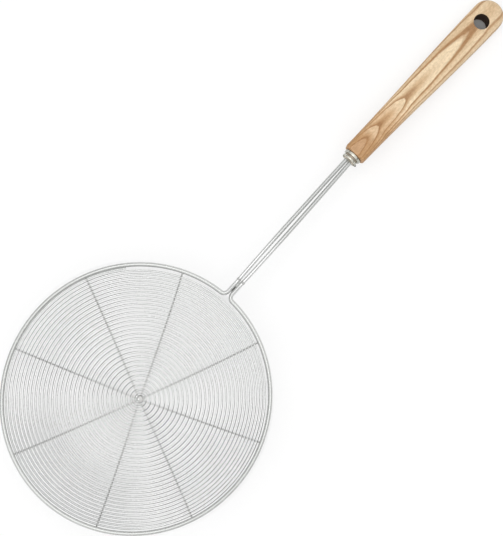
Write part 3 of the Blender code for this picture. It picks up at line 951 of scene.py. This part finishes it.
class SKIMMER_OT_spot_welds(Operator):
    """Small nuggets where the spiral lies on its ribs, and larger ones under the rim"""

    bl_idname = "skimmer.spot_welds"
    bl_label = "Spot welds"

    def execute(self, context):
        form, finish = sizes_and_finish()
        weld = steel_material("nugget_steel", form, toned(finish.steel, 0.9), roughness=0.34)
        for name, points, size in (
            ("crossing_welds", crossing_points(form), NUGGET_RADIUS),
            ("rim_welds", rim_seats(form), RIM_NUGGET_RADIUS),
        ):
            tree = Tree(f"Nuggets {name}", {"Size": size, "Seed": 7, "Material": weld})
            nugget = {"Radius": tree.get("Size"), "Subdivisions": 2}
            ball = tree.add("GeometryNodeMeshIcoSphere", None, nugget)
            uneven = {"Min": 0.85, "Max": 1.2, "Seed": tree.get("Seed")}
            scale = tree.add("FunctionNodeRandomValue", {"data_type": "FLOAT"}, uneven, 1)
            tree.close(tree.copies(ball, Scale=scale))
            mesh = tree.run(name, polyline(f"{name}_places", points))
            finished(name, mesh, form, [])
        return {"FINISHED"}


def lathe(profile, sides):
    """A closed surface turned about Z from (radius, height) points whose ends are on the axis."""
    shape = bmesh.new()
    turns = [math.tau * k / sides for k in range(sides)]
    rings = []
    for radius, height in profile:
        around = turns if radius > 0 else [0.0]
        rings.append([shape.verts.new((radius * math.cos(a), radius * math.sin(a), height)) for a in around])
    for lower, upper in zip(rings, rings[1:]):
        for k in range(sides):
            m = (k + 1) % sides
            corners = [(lower, k), (lower, m), (upper, m), (upper, k)]
            shape.faces.new(list(dict.fromkeys(ring[place % len(ring)] for ring, place in corners)))
    return shape


def rounded(corners, radius, steps=5, most=0.45):
    """(radius, height) corners of a profile, each inner one rounded over at most this share of its sides."""
    points = [corners[0]]
    for before, corner, after in zip(corners, corners[1:], corners[2:]):
        corner = Vector(corner)
        back = Vector(before) - corner
        ahead = Vector(after) - corner
        reach = min(radius, back.length * most, ahead.length * most)
        start = corner + back.normalized() * reach
        end = corner + ahead.normalized() * reach
        for k in range(steps + 1):
            t = k / steps
            points.append(tuple(start * (1 - t) ** 2 + corner * 2 * t * (1 - t) + end * t * t))
    points.append(corners[-1])
    return points


def to_mesh(name, shape):
    mesh = bpy.data.meshes.new(name)
    shape.to_mesh(mesh)
    shape.free()
    return mesh


class SKIMMER_OT_welds(Operator):
    """The hub's pressed button and the bead between the legs at the neck"""

    bl_idname = "skimmer.welds"
    bl_label = "Hub and neck welds"

    def execute(self, context):
        form, finish = sizes_and_finish()
        weld = weld_material(finish.weld, finish.steel, form)
        steel = steel_material("pressed_steel", form, finish.fine_steel, roughness=0.24, tone=hub_tone)
        self.hub(form, steel)
        self.neck(form, weld)
        return {"FINISHED"}

    def hub(self, form, steel):
        """The button, pressed flat on the table's side, a little lumpy round its edge."""
        radius = form.sizes.hub_diameter / 2
        height = form.hub_top - form.foot
        corners = [(0, height), (radius, height), (radius, 0), (0, 0)]
        shape = lathe(rounded(corners, HUB_ROUND), sides=64)
        slope = math.tan(form.tilt())
        for corner in shape.verts:
            lump = noise.noise(corner.co * HUB_LUMPS) * HUB_LUMP
            around = Vector((corner.co.x, corner.co.y, 0))
            if around.length > radius * 0.5:
                corner.co -= around.normalized() * (HUB_INSET + abs(lump))
            corner.co.z = max(corner.co.z, corner.co.x * slope) + form.foot
        finished("hub_button", to_mesh("hub_button", shape), form, ["hub"], steel)

    def neck(self, form, weld):
        """Drops of weld metal in the groove between the legs, run together."""
        shape = bmesh.new()
        for along, reach, across, level, high in NECK_DROPS:
            place = Matrix.Translation((form.neck_end + along, NECK_OFFSET, level))
            size = Matrix.Diagonal((reach, across, high, 1.0))
            bmesh.ops.create_uvsphere(shape, u_segments=24, v_segments=16, radius=1, matrix=place @ size)
        for corner in shape.verts:
            corner.co += noise.noise_vector(corner.co * BEAD_LUMPS) * BEAD_LUMP
        finished("neck_bead", to_mesh("neck_bead", shape), form, ["neck_weld"], weld)


class SKIMMER_OT_ferrule(Operator):
    """The turned ferrule on the handle's front, and its pin"""

    bl_idname = "skimmer.ferrule"
    bl_label = "Ferrule"

    def execute(self, context):
        form, finish = sizes_and_finish()
        cap = cap_material(form, finish.cap)
        groove = FLANGE_LENGTH + GROOVE_LENGTH
        corners = [(0, SEAT_GAP), (FLANGE_RADIUS, SEAT_GAP), (FLANGE_RADIUS, FLANGE_LENGTH)]
        corners += [(GROOVE_RADIUS, FLANGE_LENGTH), (GROOVE_RADIUS, groove), (NOSE_RADIUS, groove)]
        corners += [(NOSE_RADIUS, groove + NOSE_BAND), (NOSE_FRONT_RADIUS, FERRULE_LENGTH)]
        corners += [(0, FERRULE_LENGTH)]
        shape = lathe(rounded(corners, FERRULE_ROUND), sides=96)
        shape.transform(form.grip @ Matrix.Rotation(-math.pi / 2, 4, "Y"))
        finished("ferrule_cap", to_mesh("ferrule_cap", shape), form, ["ferrule"], cap)
        end = NOSE_RADIUS + PIN_PROUD
        corners = [(0, NOSE_RADIUS / 2), (PIN_RADIUS, NOSE_RADIUS / 2), (PIN_RADIUS, end), (0, end)]
        pin = lathe(rounded(corners, FERRULE_ROUND), sides=32)
        place = Matrix.Translation((NOSE_LENGTH / 2 - FERRULE_LENGTH + PIN_BACK, 0, 0))
        pin.transform(form.grip @ place @ Matrix.Rotation(math.pi / 2 + PIN_ANGLE, 4, "X"))
        # Painted shade: the pin's steel is darkened to a quarter of the weld's colour.
        shade_paint = steel_material("shaded_pin_steel", form, toned(finish.weld, 0.25), roughness=0.4)
        finished("ferrule_pin", to_mesh("ferrule_pin", pin), form, ["locking_pin"], shade_paint)
        return {"FINISHED"}


def grip_shape(form, front_steps=6, edge_steps=8, stations=72, butt_steps=40):
    """The wood before its hole: sections along its length, and the butt swept round half a turn."""
    sizes = form.sizes
    half = sizes.handle_thickness / 2
    rows = []
    for k in range(front_steps):
        turn = math.pi / 2 * k / front_steps
        rows.append((FRONT_ROUND * (1 - math.cos(turn)), FRONT_ROUND * (1 - math.sin(turn))))
    straight = sizes.handle_length - form.butt_r - FRONT_ROUND
    rows += [(FRONT_ROUND + straight * k / stations, 0.0) for k in range(stations + 1)]

    def edge(shrink):
        levels = []
        for k in range(edge_steps + 1):
            turn = math.pi / 2 * k / edge_steps
            inset = sizes.edge_radius * (1 - math.sin(turn))
            levels.append((inset, half - shrink - sizes.edge_radius * (1 - math.cos(turn))))
        return levels + [(inset, -height) for inset, height in reversed(levels)]

    shape = bmesh.new()
    rings = []
    for x, shrink in rows:
        width = form.half_width(x) - shrink
        left = [shape.verts.new((x, width - inset, z)) for inset, z in edge(shrink / 2)]
        right = [shape.verts.new((x, inset - width, z)) for inset, z in edge(shrink / 2)]
        rings.append(left + right[::-1])
    shape.faces.new(rings[0])
    for ring, after in zip(rings, rings[1:]):
        for k in range(len(ring)):
            m = (k + 1) % len(ring)
            shape.faces.new((ring[k], after[k], after[m], ring[m]))
    count = len(rings[-1]) // 2
    columns = [rings[-1][:count]]
    for k in range(1, butt_steps):
        turn = math.pi * k / butt_steps
        columns.append([])
        for inset, z in edge(0.0):
            reach = form.butt_r - inset
            spot = (straight + FRONT_ROUND + reach * math.sin(turn), reach * math.cos(turn), z)
            columns[-1].append(shape.verts.new(spot))
    columns.append(rings[-1][count:][::-1])
    for column, after in zip(columns, columns[1:]):
        for k in range(count - 1):
            shape.faces.new((column[k], after[k], after[k + 1], column[k + 1]))
    shape.faces.new([column[0] for column in columns])
    shape.faces.new([column[-1] for column in columns])
    bmesh.ops.recalc_face_normals(shape, faces=shape.faces)
    return shape


class SKIMMER_OT_handle(Operator):
    """The wooden handle with its hanging hole"""

    bl_idname = "skimmer.handle"
    bl_label = "Handle"

    def execute(self, context):
        form, finish = sizes_and_finish()
        ash = ash_material(form, finish)
        bore = bore_material(finish.bore)
        wood = to_mesh("grip_blank", grip_shape(form))
        radius = form.sizes.hole_diameter / 2
        half = form.sizes.handle_thickness / 2
        flare = radius + DRILL_FLARE
        corners = [(0, DRILL_LENGTH), (flare, DRILL_LENGTH), (flare, half + DRILL_CLEAR)]
        corners += [(radius + HOLE_ROUND, half + DRILL_PROUD), (radius, half - HOLE_LIP)]
        lower = [(out, -height) for out, height in reversed(corners)]
        drill = lathe(rounded(corners + lower, HOLE_ROUND), sides=96)
        drill.transform(Matrix.Translation((form.hole_x, 0, 0)))
        bmesh.ops.recalc_face_normals(drill, faces=drill.faces)
        cutter_mesh = to_mesh("drill", drill)
        for mesh in (wood, cutter_mesh):
            mesh.materials.append(ash)
            mesh.materials.append(bore)
        for face in cutter_mesh.polygons:
            face.material_index = int(abs(face.center.z) < half - HOLE_LIP)
        mesh = self.drilled(wood, cutter_mesh)
        mesh.transform(form.grip)
        finished("handle_grip", mesh, form, ["handle"])
        return {"FINISHED"}

    def drilled(self, wood, cutter_mesh):
        """The wood less what the drill takes out."""
        blank = in_scene("blank", wood)
        cutter = in_scene("drill", cutter_mesh)
        cut = blank.modifiers.new("hole", "BOOLEAN")
        cut.operation = "DIFFERENCE"
        cut.solver = "EXACT"
        cut.object = cutter
        mesh = plain_mesh(blank, cut)
        bpy.data.objects.remove(cutter)
        return mesh


class SKIMMER_OT_stage(Operator):
    """A white table in a bright tent, its lamps and the camera above"""

    bl_idname = "skimmer.stage"
    bl_label = "Stage"

    # Where the table's painted light and shadow begin and end, in metres from the hanging hole or from below
    # the hub. Then the same by heading, and how much of each the eye sees.
    HALF_WIDTH = 10.0
    SHIFT = (-0.0015, 0.0025, 0.0)
    HOLE_SHADOW_EDGE = (0.007, 0.011)
    RIM_EDGE = (0.086, 0.095)
    SHADE_START = (0.086, 0.090)
    SHADE_END = (0.0945, 0.0970)
    FAR_START = (0.03, 0.065)
    FAR_STOP = (0.098, 0.105)
    UNDER_HUB = (0.015, 0.050)
    SIDES = (0.25, 0.80)
    CORNERS_ASIDE = (0.10, 0.45)
    CORNERS_ALONG = (0.15, 0.55)
    BOWL_SHARE = 0.42
    OPEN_SHARE = 0.24
    SIDE_SHARE = 0.13
    CORNER_SHARE = 0.11
    FAR_SHADE = 0.32
    RIM_SHADE = 0.9
    HUB_SHADE = 0.16

    # Where the tent's grey band begins and ends, by the height and the squared side of a direction.
    HORIZON = (0.15, 0.21)
    BAND = (0.20, 0.62)
    BAND_SIDE = (0.1, 0.5)
    ROOF_SIDE = (0.02, 0.25)

    # Soft boxes as (name, place, aim, width, height, watts, whether metal mirrors it).
    LAMPS = (
        ("overhead", (0.05, 0.05, 1.22), (0.05, 0.05, 0.0), 0.86, 0.86, 1.2, True),
        ("key", (0.0, -0.05, 1.5), (0.13, 0.0, 0.0), 1.3, 1.3, 9.0, False),
        ("left", (-0.9, 0.9, 1.1), (0.13, 0.0, 0.0), 0.9, 0.9, 1.2, False),
        ("over_stem", (0.38, 0.06, 1.2), (0.38, 0.06, 0.0), 0.18, 0.5, 0.34, True),
    )

    def execute(self, context):
        form, _ = sizes_and_finish()
        self.table(form)
        self.tent()
        for lamp in self.LAMPS:
            self.lamp(*lamp)
        self.camera(form)
        context.scene.view_settings.view_transform = "Standard"
        return {"FINISHED"}

    def table(self, form):
        """A matt white square whose glow is painted by place: a painted shadow under the bowl gives the grey
        between the wires, and another lies under the hanging hole.
        """
        mesh = bpy.data.meshes.new("table")
        half = self.HALF_WIDTH
        corners = [(-half, -half, 0), (half, -half, 0), (half, half, 0), (-half, half, 0)]
        mesh.from_pydata(corners, [], [(0, 1, 2, 3)])
        material, board, surface = shader("table_white")
        x, y, _ = board.split(board.place())
        hole = form.lying @ form.grip @ Vector((form.hole_x, 0, 0))
        # Painted shadow under the hanging hole: no glow and a grey base there.
        clear = (((x - hole.x) ** 2.0 + (y - hole.y) ** 2.0) ** 0.5).between(*self.HOLE_SHADOW_EDGE)
        share = self.seen(board) * clear * self.glow(form, x, y)
        base = board.mix(clear, toned(WHITE, 0.5), toned(WHITE, 0.93))
        board.fill(surface, {"Base Color": base, "Roughness": 0.9, "Specular IOR Level": 0.0})
        white = board.add("ShaderNodeEmission", None, {"Color": (*WHITE, 1.0), "Strength": 1.0})
        matt = Value(board, surface.outputs[0])
        mixed = board.add("ShaderNodeMixShader", None, {0: share, 1: matt, 2: white})
        board.fill(board.tree.nodes["Material Output"], {"Surface": mixed})
        mesh.materials.append(material)
        in_scene("table", mesh)

    def glow(self, form, x, y):
        """How far the table shows white, painted by place: painted shadow under the bowl, deepest in a
        painted ring in the rim's shade and at the far end.
        """
        bowl = form.lying @ Vector((0, 0, form.hub_top)) + Vector(self.SHIFT)
        x, y = x - bowl.x, y - bowl.y
        out = (x**2.0 + y**2.0) ** 0.5
        along = x / out
        aside = (y / out) ** 2.0
        beyond = out.between(*self.RIM_EDGE)
        under_rim = out.between(*self.SHADE_START) * out.below(*self.SHADE_END)
        far_end = along.below(*FAR_END) * out.between(*self.FAR_START) * out.below(*self.FAR_STOP)
        sides = aside.between(*self.SIDES) * self.SIDE_SHARE
        corners = aside.between(*self.CORNERS_ASIDE) * along.between(*self.CORNERS_ALONG) * self.CORNER_SHARE
        # Painted light towards the sides, and painted shadow under the bowl, at its far end, under the hub
        # and under the rim.
        light = self.BOWL_SHARE + beyond * self.OPEN_SHARE + (sides + corners) * (1.0 - beyond)
        shade = far_end * self.FAR_SHADE + out.below(*self.UNDER_HUB) * self.HUB_SHADE
        return (light - shade) * (1.0 - under_rim * self.RIM_SHADE)

    def seen(self, board):
        """1 where the eye meets the table, also by way of metal or glass."""
        rays = ("Is Camera Ray", "Is Glossy Ray", "Is Transmission Ray")
        straight, mirrored, through = (board.add("ShaderNodeLightPath", output=ray) for ray in rays)
        return (straight + mirrored + through).clamp()

    def tent(self):
        """A white sky and horizon with a greyer band between, which the wires mirror at their edges."""
        world = bpy.data.worlds.new("tent")
        bpy.context.scene.world = world
        world.use_nodes = True
        board = Board(world.node_tree)
        _, y, z = board.split(board.add("ShaderNodeTexCoord", output="Generated"))
        low = board.mix((y * y).between(*self.BAND_SIDE), toned(WHITE, 0.72), toned(WHITE, 0.10))
        high = board.mix((y * y).between(*self.ROOF_SIDE), WHITE, toned(WHITE, 0.86))
        sky = board.mix(z.between(*self.BAND), low, high)
        colour = board.mix(z.between(*self.HORIZON), toned(WHITE, 1.08), sky)
        board.fill(world.node_tree.nodes["Background"], {"Color": colour, "Strength": 0.85})

    def lamp(self, name, place, aim, width, height, power, mirrored):
        lamp = bpy.data.lights.new(name, "AREA")
        lamp.shape = "RECTANGLE"
        lamp.size = width
        lamp.size_y = height
        lamp.energy = power
        holder = in_scene(name, lamp)
        holder.location = place
        holder.rotation_euler = (Vector(aim) - Vector(place)).to_track_quat("-Z", "Y").to_euler()
        holder.visible_glossy = mirrored

    def camera(self, form):
        """Nearly straight above, turned so that the handle points to the upper right."""
        heading = Matrix.Rotation(VIEW_HEADING, 3, "Z")
        tilt = Matrix.Rotation(VIEW_TILT, 3, "Y")
        roll = Matrix.Rotation(VIEW_ROLL, 3, "X")
        turn = (heading @ tilt @ roll).transposed()
        lens = bpy.data.cameras.new("camera")
        lens.lens = LENS
        lens.sensor_width = SENSOR
        lens.clip_start = 0.05
        camera = in_scene("camera", lens)
        eye = turn @ (Vector(EYE_PIXELS) * PIXEL)
        camera.matrix_world = form.lying @ Matrix.Translation(eye) @ turn.to_4x4()
        bpy.context.scene.camera = camera


class SKIMMER_PT_panel(Panel):
    """Lists the skimmer's pieces and their sizes"""

    bl_idname = "SKIMMER_PT_panel"
    bl_label = "Wire Skimmer"
    bl_space_type = "VIEW_3D"
    bl_region_type = "UI"
    bl_category = "Skimmer"

    def draw(self, context):
        for group in (context.scene.skimmer_sizes, context.scene.skimmer_finish):
            box = self.layout.box()
            for name in group.__annotations__:
                box.prop(group, name)
        for operator in OPERATORS:
            self.layout.operator(operator.bl_idname)


OPERATORS = (
    SKIMMER_OT_frame_wire,
    SKIMMER_OT_spiral,
    SKIMMER_OT_ribs,
    SKIMMER_OT_spot_welds,
    SKIMMER_OT_welds,
    SKIMMER_OT_ferrule,
    SKIMMER_OT_handle,
    SKIMMER_OT_stage,
)
CLASSES = (SkimmerSizes, SkimmerFinish, *OPERATORS, SKIMMER_PT_panel)


def register():
    for made in CLASSES:
        bpy.utils.register_class(made)
    bpy.types.Scene.skimmer_sizes = PointerProperty(type=SkimmerSizes)
    bpy.types.Scene.skimmer_finish = PointerProperty(type=SkimmerFinish)


def unregister():
    del bpy.types.Scene.skimmer_finish
    del bpy.types.Scene.skimmer_sizes
    for made in reversed(CLASSES):
        bpy.utils.unregister_class(made)


def main():
    register()
    bpy.ops.skimmer.frame_wire()
    bpy.ops.skimmer.spiral()
    bpy.ops.skimmer.ribs()
    bpy.ops.skimmer.spot_welds()
    bpy.ops.skimmer.welds()
    bpy.ops.skimmer.ferrule()
    bpy.ops.skimmer.handle()
    bpy.ops.skimmer.stage()


if __name__ == "__main__":
    main()
